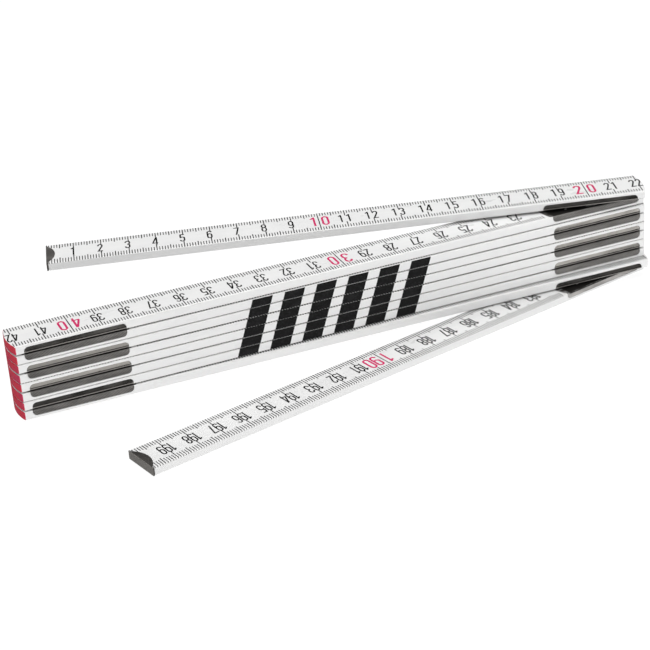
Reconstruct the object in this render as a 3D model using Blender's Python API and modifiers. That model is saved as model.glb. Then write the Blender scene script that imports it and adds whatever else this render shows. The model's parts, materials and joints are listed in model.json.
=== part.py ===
"""Two-metre wooden folding rule: ten slats, nine concealed steel hinges, two end caps.

Every slat has its own frame. Its origin is on the axis of the hinge below it, in the
middle of the gap under the slat, and its +X runs along the slat to the hinge above it.
The frames are empties, each parented to the frame of the slat below, so the whole rule
folds by turning them about Z.
"""
from math import asin, cos, pi, radians, sin

import bmesh
import bpy
from mathutils import Euler, Matrix

MM = 0.001

# The rule
SLAT_COUNT = 10
HINGE_PITCH = 200.0 * MM        # from one hinge axis to the next along a slat
SLAT_WIDTH = 15.2 * MM
SLAT_THICKNESS = 3.25 * MM
SLAT_GAP = 0.30 * MM            # between the faces of two stacked slats
STACK_PITCH = SLAT_THICKNESS + SLAT_GAP
END_RADIUS = 22.5 * MM          # rounded slat end, struck from the hinge axis
EDGE_CHAMFER = 0.30 * MM

# How far each hinge is open, in degrees from folded, first hinge first
OPENING = (15.0, 0.2, 0.0, 0.0, 0.0, 0.0, 0.0, 0.8, 14.7)
BASE_HEADING = 13.9             # degrees, direction of the lowest slat

# Hinge plates
PLATE_RADIUS = 20.0 * MM
PLATE_THICKNESS = 0.45 * MM
BEND_RADIUS = 0.55 * MM
WING_HALF_LENGTH = 18.4 * MM
WING_HEIGHT = 2.20 * MM
WING_CORNER = 1.2 * MM
SEAT_CLEARANCE = 0.10 * MM      # around a plate in its seat in the wood
RIVET_RADIUS = 2.0 * MM
RIVET_HOLE_RADIUS = 2.2 * MM
RIVET_HEAD_RADIUS = 3.6 * MM
RIVET_HEAD_HEIGHT = 0.50 * MM
RIVET_POCKET_RADIUS = 3.9 * MM
WASHER_INNER_RADIUS = 2.3 * MM
WASHER_OUTER_RADIUS = 6.5 * MM
WASHER_THICKNESS = 0.20 * MM
PLAY = 0.05 * MM                # between the loose pieces inside a hinge

# End caps
CAP_PLATE = 0.50 * MM
CAP_TONGUE = 0.40 * MM
CAP_DEPTH = 2.6 * MM            # of the half-moon tongues, along the slat
CAP_HALF_WIDTH = 7.1 * MM

FACE = SLAT_GAP / 2             # height of a slat's underside in its own frame
TOP = FACE + SLAT_THICKNESS
SEAT_DEPTH = PLATE_THICKNESS + SEAT_CLEARANCE
HALF_WIDTH = SLAT_WIDTH / 2


def clear_scene():
    for obj in list(bpy.data.objects):
        bpy.data.objects.remove(obj, do_unlink=True)


def new_collection(name):
    collection = bpy.data.collections.new(name)
    bpy.context.scene.collection.children.link(collection)
    return collection


def new_material(name, color, roughness, metallic):
    material = bpy.data.materials.new(name)
    material.use_nodes = True
    shader = material.node_tree.nodes["Principled BSDF"]
    shader.inputs["Base Color"].default_value = (*color, 1.0)
    shader.inputs["Roughness"].default_value = roughness
    shader.inputs["Metallic"].default_value = metallic
    return material


def arc(cx, cy, radius, start, end, steps):
    """Points of an arc in the plane, from the start angle to the end angle."""
    angles = [start + (end - start) * i / steps for i in range(steps + 1)]
    return [(cx + radius * cos(a), cy + radius * sin(a)) for a in angles]


def extrude_outline(name, outline, low, high):
    """Solid between two heights from a closed outline in the XY plane."""
    curve = bpy.data.curves.new(name, "CURVE")
    curve.dimensions = "2D"
    curve.fill_mode = "BOTH"
    curve.extrude = (high - low) / 2
    spline = curve.splines.new("POLY")
    spline.points.add(len(outline) - 1)
    for point, (x, y) in zip(spline.points, outline):
        point.co = (x, y, 0.0, 1.0)
    spline.use_cyclic_u = True
    drawn = bpy.data.objects.new(name + "_outline", curve)
    bpy.context.scene.collection.objects.link(drawn)
    bpy.context.view_layer.update()
    mesh = bpy.data.meshes.new_from_object(drawn.evaluated_get(bpy.context.evaluated_depsgraph_get()))
    bpy.data.objects.remove(drawn, do_unlink=True)
    bm = bmesh.new()
    bm.from_mesh(mesh)
    bmesh.ops.remove_doubles(bm, verts=bm.verts, dist=1e-6)
    bmesh.ops.translate(bm, verts=bm.verts, vec=(0.0, 0.0, (high + low) / 2))
    bmesh.ops.dissolve_limit(bm, angle_limit=radians(0.1), verts=bm.verts, edges=bm.edges)
    bmesh.ops.recalc_face_normals(bm, faces=bm.faces)
    bm.to_mesh(mesh)
    bm.free()
    mesh.name = name
    return mesh


def turned(name, profile, steps):
    """Solid of revolution about Z from a closed profile of (radius, height) points."""
    mesh = bpy.data.meshes.new(name)
    bm = bmesh.new()
    points = [bm.verts.new((r, 0.0, z)) for r, z in profile]
    edges = [bm.edges.new((points[i - 1], points[i])) for i in range(len(points))]
    bmesh.ops.spin(bm, geom=points + edges, cent=(0, 0, 0), axis=(0, 0, 1), angle=2 * pi,
                   steps=steps, use_merge=True, use_duplicate=False)
    bmesh.ops.remove_doubles(bm, verts=bm.verts, dist=1e-6)
    bmesh.ops.recalc_face_normals(bm, faces=bm.faces)
    bm.to_mesh(mesh)
    bm.free()
    return mesh


def add_cutter(name, mesh, matrix=Matrix.Identity(4)):
    cutter = bpy.data.objects.new(name, mesh)
    cutter.matrix_world = matrix
    cutter.hide_render = True
    cutter.display_type = "WIRE"
    cutters.objects.link(cutter)
    return cutter


def shaped(name, mesh, cuts, chamfer=0.0):
    """The mesh after an optional chamfer and a list of (operation, cutter) Booleans."""
    stock = bpy.data.objects.new(name + "_stock", mesh)
    cutters.objects.link(stock)
    if chamfer:
        bevel = stock.modifiers.new("chamfer", "BEVEL")
        bevel.width = chamfer
        bevel.segments = 1
        bevel.limit_method = "ANGLE"
        bevel.angle_limit = radians(50)
    for operation, cutter in cuts:
        boolean = stock.modifiers.new(cutter.name, "BOOLEAN")
        boolean.operation = operation
        boolean.object = cutter
        boolean.solver = "EXACT"
    bpy.context.view_layer.update()
    result = bpy.data.meshes.new_from_object(stock.evaluated_get(bpy.context.evaluated_depsgraph_get()))
    bpy.data.objects.remove(stock, do_unlink=True)
    result.name = name
    return result


def place(name, mesh, material, parent, location=(0, 0, 0), rotation=(0, 0, 0)):
    """One piece of the rule, set on the frame of its slat."""
    if not mesh.materials:
        mesh.materials.append(material)
    piece = bpy.data.objects.new(name, mesh)
    piece.parent = parent
    piece.location = location
    piece.rotation_euler = rotation
    rule.objects.link(piece)
    return piece


# Flat outlines, in the plane of the slat

def end_arc(center_x, radius, half_width, direction, steps=6):
    """Round end struck from a hinge axis, from one edge of the slat to the other."""
    spread = asin(half_width / radius)
    middle = 0.0 if direction > 0 else pi
    return arc(center_x, 0.0, radius, middle - spread, middle + spread, steps)


def middle_slat_outline():
    return (end_arc(HINGE_PITCH, END_RADIUS, HALF_WIDTH, 1)
            + end_arc(0.0, END_RADIUS, HALF_WIDTH, -1))


def end_slat_outline():
    end = HINGE_PITCH - CAP_PLATE - SEAT_CLEARANCE
    return [(end, -HALF_WIDTH), (end, HALF_WIDTH)] + end_arc(0.0, END_RADIUS, HALF_WIDTH, -1)


def disc_outline(radius, half_width):
    return end_arc(0.0, radius, half_width, 1) + end_arc(0.0, radius, half_width, -1)


def wing_outline(half_length, height, corner, foot):
    """Side view of a wing: a low foot as long as the plate, then the wing with round corners."""
    right = [(half_length, foot)]
    right += arc(half_length - corner, height - corner, corner, 0.0, pi / 2, 3)
    left = [(-x, z) for x, z in reversed(right)]
    reach = PLATE_RADIUS + 2 * MM
    return [(-reach, -2 * MM), (reach, -2 * MM), (reach, foot)] + right + left + [(-reach, foot)]


def channel_outline():
    """Section of the bent plate, wings up: outer side first, then back along the inner side."""
    low = FACE
    tall = FACE + WING_HEIGHT + 1 * MM
    inner = BEND_RADIUS - PLATE_THICKNESS
    y = HALF_WIDTH - BEND_RADIUS
    outer_bend = arc(y, low + BEND_RADIUS, BEND_RADIUS, -pi / 2, 0.0, 3)
    inner_bend = arc(y, low + BEND_RADIUS, inner, 0.0, -pi / 2, 2)
    half = outer_bend + [(HALF_WIDTH, tall), (HALF_WIDTH - PLATE_THICKNESS, tall)] + inner_bend
    return half + [(-a, b) for a, b in reversed(half)]


def tongue_outline(grow, reach):
    """Half-moon tongue of an end cap, from the end of the rule along the slat."""
    half_width = CAP_HALF_WIDTH + grow
    depth = CAP_DEPTH + grow
    radius = (half_width ** 2 + depth ** 2) / (2 * depth)
    spread = asin(half_width / radius)
    moon = arc(radius - depth, 0.0, radius, pi + spread, pi - spread, 8)
    return moon + ([(reach, half_width), (reach, -half_width)] if reach else [])


# Turns an outline drawn in XY so that its X stays and its Y stands up as Z
STAND_UP = Euler((pi / 2, 0.0, 0.0)).to_matrix().to_4x4()
# Turns an outline drawn in XY so that its X becomes Y and its Y stands up as Z
ACROSS = Matrix(((0, 0, 1, 0), (1, 0, 0, 0), (0, 1, 0, 0), (0, 0, 0, 1)))
# Turns a piece over about the slat's long axis
TURNED_OVER = Euler((pi, 0.0, 0.0)).to_matrix().to_4x4()


def make_hinge_plate():
    """Pressed plate with a round base and two wings, lying on the underside of a slat."""
    channel = extrude_outline("channel", channel_outline(), -PLATE_RADIUS - MM, PLATE_RADIUS + MM)
    channel.transform(ACROSS)
    disc = extrude_outline("disc", disc_outline(PLATE_RADIUS, HALF_WIDTH + MM), -MM, 5 * MM)
    side = extrude_outline("side", wing_outline(WING_HALF_LENGTH, FACE + WING_HEIGHT, WING_CORNER,
                                                FACE + SEAT_DEPTH), -10 * MM, 10 * MM)
    hole = turned("hole", [(0, -MM), (RIVET_HOLE_RADIUS, -MM), (RIVET_HOLE_RADIUS, 3 * MM),
                           (0, 3 * MM)], 16)
    return shaped("hinge_plate", channel, [("INTERSECT", add_cutter("plate_plan", disc)),
                                           ("INTERSECT", add_cutter("plate_side", side, STAND_UP)),
                                           ("DIFFERENCE", add_cutter("rivet_hole", hole))])


def hinge_seat_cutters(label, matrix):
    """Cutters for the seat of a plate in the underside of a slat: base, wings, rivet head."""
    base = extrude_outline("seat_base", disc_outline(PLATE_RADIUS + 1.2 * SEAT_CLEARANCE,
                                                     HALF_WIDTH + MM), -MM, FACE + SEAT_DEPTH)
    pocket_top = FACE + SEAT_DEPTH + RIVET_HEAD_HEIGHT + 2 * PLAY
    pocket = turned("seat_pocket", [(0, -MM), (RIVET_POCKET_RADIUS, -MM),
                                    (RIVET_POCKET_RADIUS, pocket_top), (0, pocket_top)], 16)
    found = [add_cutter(label + "_base", base, matrix), add_cutter(label + "_pocket", pocket, matrix)]
    wing = wing_outline(WING_HALF_LENGTH + 1.5 * SEAT_CLEARANCE,
                        FACE + WING_HEIGHT + SEAT_CLEARANCE, WING_CORNER + SEAT_CLEARANCE, 0.0)
    depth = PLATE_THICKNESS + SEAT_CLEARANCE
    slot = extrude_outline("seat_wing", wing[3:-1] + [(wing[-2][0], -MM), (wing[3][0], -MM)], 0.0,
                           depth + MM)
    for side, offset in (("near", -HALF_WIDTH + depth), ("far", HALF_WIDTH + MM)):
        stand = matrix @ Matrix.Translation((0, offset, 0)) @ STAND_UP
        found.append(add_cutter(label + "_wing_" + side, slot, stand))
    return [("DIFFERENCE", cutter) for cutter in found]


def cap_seat_cutters():
    """Cutters for the two half-moon seats at the square end of a slat."""
    mesh = extrude_outline("seat_tongue", tongue_outline(SEAT_CLEARANCE, MM), 0.0, 2 * MM)
    heights = {"under": FACE + CAP_TONGUE + SEAT_CLEARANCE - 2 * MM,
               "over": TOP - CAP_TONGUE - SEAT_CLEARANCE}
    return [("DIFFERENCE", add_cutter("cap_" + side, mesh, Matrix.Translation((HINGE_PITCH, 0, z))))
            for side, z in heights.items()]


def make_end_cap():
    """Cap with its end plate at the origin and its tongues along -X, centred on the slat."""
    half = SLAT_THICKNESS / 2
    block = extrude_outline("cap_block", tongue_outline(0.0, 0.0), -half, half)
    inside = extrude_outline("cap_inside", [(-5 * MM, -10 * MM), (-CAP_PLATE, -10 * MM),
                                            (-CAP_PLATE, 10 * MM), (-5 * MM, 10 * MM)],
                             -half + CAP_TONGUE, half - CAP_TONGUE)
    plate = extrude_outline("cap_plate", [(-CAP_PLATE, -HALF_WIDTH), (0.0, -HALF_WIDTH),
                                          (0.0, HALF_WIDTH), (-CAP_PLATE, HALF_WIDTH)], -half, half)
    moons = shaped("cap_moons", block, [("DIFFERENCE", add_cutter("cap_inside", inside))])
    return shaped("end_cap", plate, [("UNION", add_cutter("cap_moons", moons))])


def make_rivet():
    """Concealed rivet, centred on the gap between its two slats."""
    seat = FACE + PLATE_THICKNESS + PLAY
    top = seat + RIVET_HEAD_HEIGHT
    profile = [(0.0, -top), (RIVET_HEAD_RADIUS, -top), (RIVET_HEAD_RADIUS, -seat),
               (RIVET_RADIUS, -seat), (RIVET_RADIUS, seat), (RIVET_HEAD_RADIUS, seat),
               (RIVET_HEAD_RADIUS, top), (0.0, top)]
    return turned("rivet", profile, 16)


def make_washer():
    half = WASHER_THICKNESS / 2
    return turned("spring_washer", [(WASHER_INNER_RADIUS, -half), (WASHER_OUTER_RADIUS, -half),
                                    (WASHER_OUTER_RADIUS, half), (WASHER_INNER_RADIUS, half)], 16)


clear_scene()
rule = new_collection("folding_rule")
cutters = new_collection("folding_rule_cutters")

lacquer = new_material("white_lacquer", (0.86, 0.86, 0.85), 0.35, 0.0)
gunmetal = new_material("gunmetal_steel", (0.06, 0.06, 0.06), 0.40, 1.0)
cap_steel = new_material("end_cap_steel", (0.09, 0.085, 0.08), 0.45, 1.0)
rivet_steel = new_material("rivet_steel", (0.55, 0.55, 0.54), 0.35, 1.0)
spring_steel = new_material("spring_steel", (0.40, 0.40, 0.41), 0.30, 1.0)

below = hinge_seat_cutters("lower_hinge", Matrix.Identity(4))
above = hinge_seat_cutters("upper_hinge", Matrix.Translation((HINGE_PITCH, 0, STACK_PITCH)) @ TURNED_OVER)
middle_slat = shaped("middle_slat", extrude_outline("middle_stock", middle_slat_outline(), FACE, TOP),
                     below + above, EDGE_CHAMFER)
end_slat = shaped("end_slat", extrude_outline("end_stock", end_slat_outline(), FACE, TOP),
                  below + cap_seat_cutters(), EDGE_CHAMFER)
hinge_plate = make_hinge_plate()
end_cap = make_end_cap()
rivet = make_rivet()
washer = make_washer()

frames = {}
heading = radians(BASE_HEADING)
for number in range(SLAT_COUNT, 0, -1):
    frame = bpy.data.objects.new(f"slat_{number:02d}_frame", None)
    frame.empty_display_size = 10 * MM
    rule.objects.link(frame)
    if number == SLAT_COUNT:
        frame.location = (-HINGE_PITCH * cos(heading), -HINGE_PITCH * sin(heading), -SLAT_GAP / 2)
        frame.rotation_euler = (0.0, 0.0, heading)
    else:
        swing = 1 if number % 2 == 0 else -1
        frame.parent = frames[number + 1]
        frame.location = (HINGE_PITCH, 0.0, STACK_PITCH)
        frame.rotation_euler = (0.0, 0.0, pi + swing * radians(OPENING[number - 1]))
    frames[number] = frame

for number in range(1, SLAT_COUNT + 1):
    name = f"slat_{number:02d}"
    if number == 1:
        place(name, end_slat, lacquer, frames[number])
    elif number == SLAT_COUNT:
        place(name, end_slat, lacquer, frames[number], (HINGE_PITCH, 0.0, STACK_PITCH), (0.0, pi, 0.0))
    else:
        place(name, middle_slat, lacquer, frames[number])

cap_height = FACE + SLAT_THICKNESS / 2
place("end_cap_start", end_cap, cap_steel, frames[1], (HINGE_PITCH, 0.0, cap_height))
place("end_cap_finish", end_cap, cap_steel, frames[SLAT_COUNT], (0.0, 0.0, cap_height), (0.0, 0.0, pi))

for number in range(1, SLAT_COUNT):
    hinge = f"hinge_{number}_{number + 1}_"
    slat_over = frames[number]
    slat_under = frames[number + 1]
    axis = (HINGE_PITCH, 0.0, STACK_PITCH)
    place(hinge + "upper_plate", hinge_plate, gunmetal, slat_over)
    place(hinge + "lower_plate", hinge_plate, gunmetal, slat_under, axis, (pi, 0.0, 0.0))
    place(hinge + "rivet", rivet, rivet_steel, slat_under, axis)
    place(hinge + "spring_washer", washer, spring_steel, slat_under, axis)

for mesh in (rivet, washer):
    mesh.shade_smooth()
    mesh.set_sharp_from_angle(angle=radians(40))
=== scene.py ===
"""Visual model of a two-metre wooden folding rule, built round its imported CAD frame.

Every slat has its own frame, read from the hinges in the record. Its origin is on the
axis of the hinge below it, in the middle of the gap under the slat, and its +X runs
along the slat to the hinge above it. Meshes are drawn in that frame, in metres.
"""

import json
from math import asin, atan2, cos, hypot, pi, radians, sin

import bmesh
import bpy
from mathutils import Euler, Matrix, Vector

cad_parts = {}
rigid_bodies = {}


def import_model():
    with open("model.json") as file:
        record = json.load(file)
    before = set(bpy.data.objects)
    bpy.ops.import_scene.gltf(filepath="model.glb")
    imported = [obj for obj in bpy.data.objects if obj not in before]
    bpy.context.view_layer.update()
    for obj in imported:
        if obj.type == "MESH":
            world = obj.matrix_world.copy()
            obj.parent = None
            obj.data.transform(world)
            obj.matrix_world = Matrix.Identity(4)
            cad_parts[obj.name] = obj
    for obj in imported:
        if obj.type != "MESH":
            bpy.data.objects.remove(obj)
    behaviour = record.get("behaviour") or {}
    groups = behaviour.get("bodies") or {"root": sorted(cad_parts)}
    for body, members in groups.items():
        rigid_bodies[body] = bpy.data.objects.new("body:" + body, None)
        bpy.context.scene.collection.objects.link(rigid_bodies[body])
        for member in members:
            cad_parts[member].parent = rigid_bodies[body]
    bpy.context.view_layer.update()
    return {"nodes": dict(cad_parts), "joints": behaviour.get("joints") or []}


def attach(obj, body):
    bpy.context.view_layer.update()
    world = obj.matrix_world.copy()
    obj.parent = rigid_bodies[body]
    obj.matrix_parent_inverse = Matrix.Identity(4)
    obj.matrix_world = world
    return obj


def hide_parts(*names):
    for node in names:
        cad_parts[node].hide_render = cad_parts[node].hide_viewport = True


MM = 0.001
SHARP_ANGLE = 34  # degrees, shaded smooth below this

# The rule
SLAT_COUNT = 10
HINGE_PITCH = 200.0 * MM
SLAT_WIDTH = 15.2 * MM
SLAT_THICKNESS = 3.05 * MM
SLAT_GAP = 0.50 * MM
STACK_PITCH = SLAT_THICKNESS + SLAT_GAP
END_RADII = {"left": 22.5 * MM, "right": 21.8 * MM}
EDGE_RADIUS = 0.36 * MM  # rounded arris of the slats
LEAN = 0.17 * MM  # how much nearer two slats stand away from their hinge
FIRST_LIFT = 0.38 * MM  # slat 1 rides a little high at its slack hinge
FIRST_ROLL = 1.3  # degrees, its far edge a little higher than its near edge

# Hinge plates
PLATE_RADIUS = 20.0 * MM
PLATE_THICKNESS = 0.45 * MM
BEND_RADIUS = 0.55 * MM
WING_LENGTHS = {"left": (18.0 * MM, 17.8 * MM), "right": (18.4 * MM, 17.7 * MM),  # outwards, inwards
                1: (17.8 * MM, 17.7 * MM), 9: (17.5 * MM, 18.6 * MM)}  # hinges 1 and 9 alone
WING_FOOT_WIDTH = 7.2 * MM  # half width of the plates beyond their wings
WING_HEIGHT = 2.10 * MM
WING_CORNER = 1.5 * MM
WING_CURVE = 1.6  # power of the curve in which a wing leans in towards its free edge
DEEPEST_CROWN = 0.44 * MM  # how far the free edge of a wing leans in, at most
UPPER_CROWNS = ((0.10, 0.06), (0.03, 0.05), (0.43, 0.26), (0.38, 0.40), (0.43, 0.34), (0.38, 0.36),
                (0.28, 0.43), (0.02, 0.02), (0.05, 0.05))   # mm at the outer and inner end, hinge 1 first
LOWER_CROWN = (0.10 * MM, 0.12 * MM)
CREASE_HEIGHT = 0.74 * MM  # fine crease along the foot of the upper wings
CREASE_DEPTH = 0.22 * MM
CREASE_WIDTH = 0.36 * MM
SEAT_CLEARANCE = 0.10 * MM
RIVET_HOLE_RADIUS = 2.2 * MM
RIVET_POCKET_RADIUS = 3.9 * MM
RIVET_HEAD_HEIGHT = 0.50 * MM
RIB_PITCH = 1.45 * MM  # fine slanted ribs on the lower wings
RIB_WIDTH = 0.76 * MM
RIB_SLANT = 1.8  # along the wing for each step up it
RIB_HEIGHT = 0.09 * MM
RIB_ROOT = 0.10 * MM  # how far the ribs reach into the wing
DIMPLE_RADIUS = 0.55 * MM
DIMPLE_HEIGHT = 0.09 * MM
DIMPLE_ROOT = 0.20 * MM
DIMPLE_PLACES = ((-10.5, 3.7), (-10.5, -3.7), (10.5, 3.7), (10.5, -3.7))  # mm

# End caps
CAP_PLATE = 0.50 * MM
CAP_TONGUE = 0.40 * MM
CAP_DEPTH = 3.2 * MM
CAP_HALF_WIDTH = 7.1 * MM
CAP_RADIUS = (CAP_HALF_WIDTH ** 2 + CAP_DEPTH ** 2) / (2 * CAP_DEPTH)

# Printed scale
INK_HEIGHT = 0.022 * MM
INK_ROOT = 0.010 * MM
TICK_WIDTH = 0.31 * MM
TICK_LENGTHS = (2.75 * MM, 3.45 * MM, 4.85 * MM)  # 1 mm, 5 mm and 10 mm marks
LONG_TICK = 1.15  # how much wider the 5 mm and 10 mm marks are
TICK_REACH = 7.40 * MM  # mark lengths count from here
SHORTEST_TICK = 0.50 * MM
END_MARGIN = 0.20 * MM  # bare rim at the ends of the slat and round the caps
ROUND_MARGIN = 0.25 * MM
PLATE_MARGIN = 0.35 * MM
NEAR_REACH = (7.60, 7.05, 6.90, 6.90, 7.42, 7.38, 6.90, 7.10, 6.85, 7.60)  # mm, slat 1 first
FAR_REACH = (7.60, 7.40, 7.55, 7.58, 7.10, 7.08, 7.55, 7.32, 6.95, 7.30)
HIDDEN_REACH = 6.90 * MM
FIRST_DRIFT = 1.00 * MM  # the print on slat 1 runs this much askew from its free end to its hinge
DIGIT_HEIGHT = 5.8 * MM
FIRST_DIGIT_HEIGHT = 6.1 * MM  # on slat 1
TENS_HEIGHT = 7.4 * MM
GLYPH_WIDTH = 0.36  # of the digit height
ONE_WIDTH = 0.22
STROKE = 0.100
DIGIT_STRETCH = 0.92
TENS_STRETCH = 1.04
DIGIT_SPACE = {1: 0.0, 2: 0.42 * MM, 3: 0.26 * MM}
DIGIT_MARGIN = 0.35 * MM  # least distance from the end of the slat
LARGEST_NUDGE = 0.80 * MM  # a number this near the end of the slat is moved in to fit
SINGLE_SHIFT = 0.40 * MM  # single digits stand a little before their mark
LEADING_ONE_SHIFT = 0.15 * MM
FIRST_SHIFT = 0.30 * MM  # numbers on slat 1 stand a little before their mark
TENS_SPACE = 0.30 * MM
TENS_OFFSETS = (1.35 * MM, 1.00 * MM)  # before and after the dividing line through the red digits
DIGIT_SHIFT = (-0.20, -0.35, -0.07, 0.09, 0.15, -0.16, -0.07, -0.04, 0.22, -0.05)  # mm, slat 1 first

# Slanted bars printed across the near edges of the folded stack
BAR_START = 75.0 * MM  # from the right-hand hinges
BAR_WIDTH = 7.6 * MM
BAR_SPACE = 4.6 * MM
BAR_COUNT = 6
BAR_LOW = 7.9 * MM
BAR_HIGH = 27.6 * MM
BAR_SLANT = 0.36

FACE = SLAT_GAP / 2
TOP = FACE + SLAT_THICKNESS
SEAT_DEPTH = PLATE_THICKNESS + SEAT_CLEARANCE
HALF_WIDTH = SLAT_WIDTH / 2

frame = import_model()

cutters = bpy.data.collections.new("cutters")
bpy.context.scene.collection.children.link(cutters)


# Meshes

def arc(cx, cy, radius, start, end, steps):
    """Points of an arc in the plane, from the start angle to the end angle."""
    return oval(cx, cy, radius, radius, start, end, steps)


def oval(cx, cy, rx, ry, start, end, steps):
    angles = [start + (end - start) * i / steps for i in range(steps + 1)]
    return [(cx + rx * cos(a), cy + ry * sin(a)) for a in angles]


def settled(bm, name):
    """Mesh of what the working mesh holds, with its faces turned outwards."""
    mesh = bpy.data.meshes.new(name)
    bmesh.ops.recalc_face_normals(bm, faces=bm.faces)
    bm.to_mesh(mesh)
    bm.free()
    return mesh


def lofted(name, *solids, closed=False):
    """Mesh of solids, each through its rings of points; a closed one has no ends."""
    bm = bmesh.new()
    for rings in solids:
        rings = [[bm.verts.new(point) for point in ring] for ring in rings]
        for a, b in list(zip(rings, rings[1:])) + ([(rings[-1], rings[0])] if closed else []):
            for k in range(len(a)):
                bm.faces.new((a[k - 1], a[k], b[k], b[k - 1]))
        if not closed:
            bm.faces.new(rings[0])
            bm.faces.new(rings[-1])
    return settled(bm, name)


def extrude_outline(name, outline, low, high):
    """Solid between two heights from a closed outline in the XY plane."""
    return lofted(name, [[(x, y, z) for x, y in outline] for z in (low, high)])


def turned(name, profile, steps):
    """Solid of revolution about Z from a closed profile of (radius, height) points."""
    bm = bmesh.new()
    points = [bm.verts.new((r, 0.0, z)) for r, z in profile]
    edges = [bm.edges.new((points[i - 1], points[i])) for i in range(len(points))]
    bmesh.ops.spin(bm, geom=points + edges, cent=(0, 0, 0), axis=(0, 0, 1), angle=2 * pi,
                   steps=steps, use_merge=True, use_duplicate=False)
    bmesh.ops.remove_doubles(bm, verts=bm.verts, dist=1e-6)
    return settled(bm, name)


def cylinder(name, radius, low, high, steps):
    return turned(name, [(0, low), (radius, low), (radius, high), (0, high)], steps)


def box_outline(x0, x1, half_width):
    return [(x0, -half_width), (x1, -half_width), (x1, half_width), (x0, half_width)]


def moved(x, y, z):
    return Matrix.Translation((x, y, z))


def add_object(name, data, collection=None):
    added = bpy.data.objects.new(name, data)
    (collection or bpy.context.scene.collection).objects.link(added)
    return added


def add_cutter(name, mesh, matrix=Matrix.Identity(4)):
    cutter = add_object(name, mesh, cutters)
    cutter.matrix_world = matrix
    return cutter


def shaped(name, mesh, cuts=(), bevels=()):
    """The mesh after its bevels (width, segments, angle) and its (operation, cutter) Booleans."""
    stock = add_object(name + "_stock", mesh, cutters)
    for width, segments, angle in bevels:
        bevel = stock.modifiers.new("bevel", "BEVEL")
        bevel.width = width
        bevel.segments = segments
        bevel.limit_method = "ANGLE"
        bevel.angle_limit = radians(angle)
    for operation, cutter in cuts:
        boolean = stock.modifiers.new(cutter.name, "BOOLEAN")
        boolean.operation = operation
        boolean.object = cutter
        boolean.solver = "EXACT"
    bpy.context.view_layer.update()
    result = bpy.data.meshes.new_from_object(stock.evaluated_get(bpy.context.evaluated_depsgraph_get()))
    bpy.data.objects.remove(stock, do_unlink=True)
    result.name = name
    result.shade_smooth()
    result.set_sharp_from_angle(angle=radians(SHARP_ANGLE))
    return result


STAND_UP = Euler((pi / 2, 0.0, 0.0)).to_matrix().to_4x4()
TURNED_OVER = Euler((0.0, pi, 0.0)).to_matrix().to_4x4()
HINGE_ABOVE = moved(HINGE_PITCH, 0.0, STACK_PITCH) @ TURNED_OVER


def column_of(hinge):
    """Side of the folded stack that a hinge is on; hinge 1 joins slats 1 and 2."""
    return "right" if hinge % 2 else "left"


def wing_lengths(hinge):
    """How far the wings of a hinge plate reach outwards and inwards from the hinge axis."""
    return WING_LENGTHS.get(hinge, WING_LENGTHS[column_of(hinge)])


def leant(x, z, slat):
    """Height after the slat is tilted a little towards its neighbours, away from its hinges."""
    if slat in (1, SLAT_COUNT):
        return z
    part = (z - FACE) / SLAT_THICKNESS
    away = x / HINGE_PITCH
    return z + LEAN * (part * (1 - away) - (1 - part) * away)


# Slats

def end_arc(center_x, radius, half_width, direction, steps=22):
    """Round end struck from a hinge axis, from one edge of the slat to the other."""
    spread = asin(half_width / radius)
    middle = 0.0 if direction > 0 else pi
    return arc(center_x, 0.0, radius, middle - spread, middle + spread, steps)


def slat_outline(slat):
    """Seen from above, with one cap end on the first slat and on the last."""
    low_end = end_arc(0.0, END_RADII[column_of(slat)], HALF_WIDTH, -1)
    high_end = end_arc(HINGE_PITCH, END_RADII[column_of(slat - 1)], HALF_WIDTH, 1)
    flat = CAP_PLATE + SEAT_CLEARANCE
    if slat == 1:
        high_end = [(HINGE_PITCH - flat, -HALF_WIDTH), (HINGE_PITCH - flat, HALF_WIDTH)]
    if slat == SLAT_COUNT:
        low_end = [(flat, HALF_WIDTH), (flat, -HALF_WIDTH)]
    return high_end + low_end


def plate_outline(hinge, grow):
    """A hinge plate from above: narrower than the slat where it reaches beyond its wings."""
    outwards, inwards = (length + grow for length in wing_lengths(hinge))
    narrow, wide = WING_FOOT_WIDTH + grow, HALF_WIDTH + MM
    ends = [end_arc(0.0, PLATE_RADIUS + grow, narrow, side, 26) for side in (1, -1)]
    far = [(inwards, narrow), (inwards, wide), (-outwards, wide), (-outwards, narrow)]
    near = [(x, -y) for x, y in reversed(far)]
    return ends[0] + far + ends[1] + near


def wing_outline(outwards, inwards, height, corner, foot):
    """Side view of a wing: a low foot as long as the plate, then the wing with round corners.

    The slat's round end is towards -X, where the wing reaches outwards, and its middle is towards +X.
    """
    right = [(inwards, foot)] + arc(inwards - corner, height - corner, corner, 0.0, pi / 2, 8)
    left = arc(corner - outwards, height - corner, corner, pi / 2, pi, 8) + [(-outwards, foot)]
    reach = PLATE_RADIUS + 2 * MM
    return [(-reach, -2 * MM), (reach, -2 * MM), (reach, foot)] + right + left + [(-reach, foot)]


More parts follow.
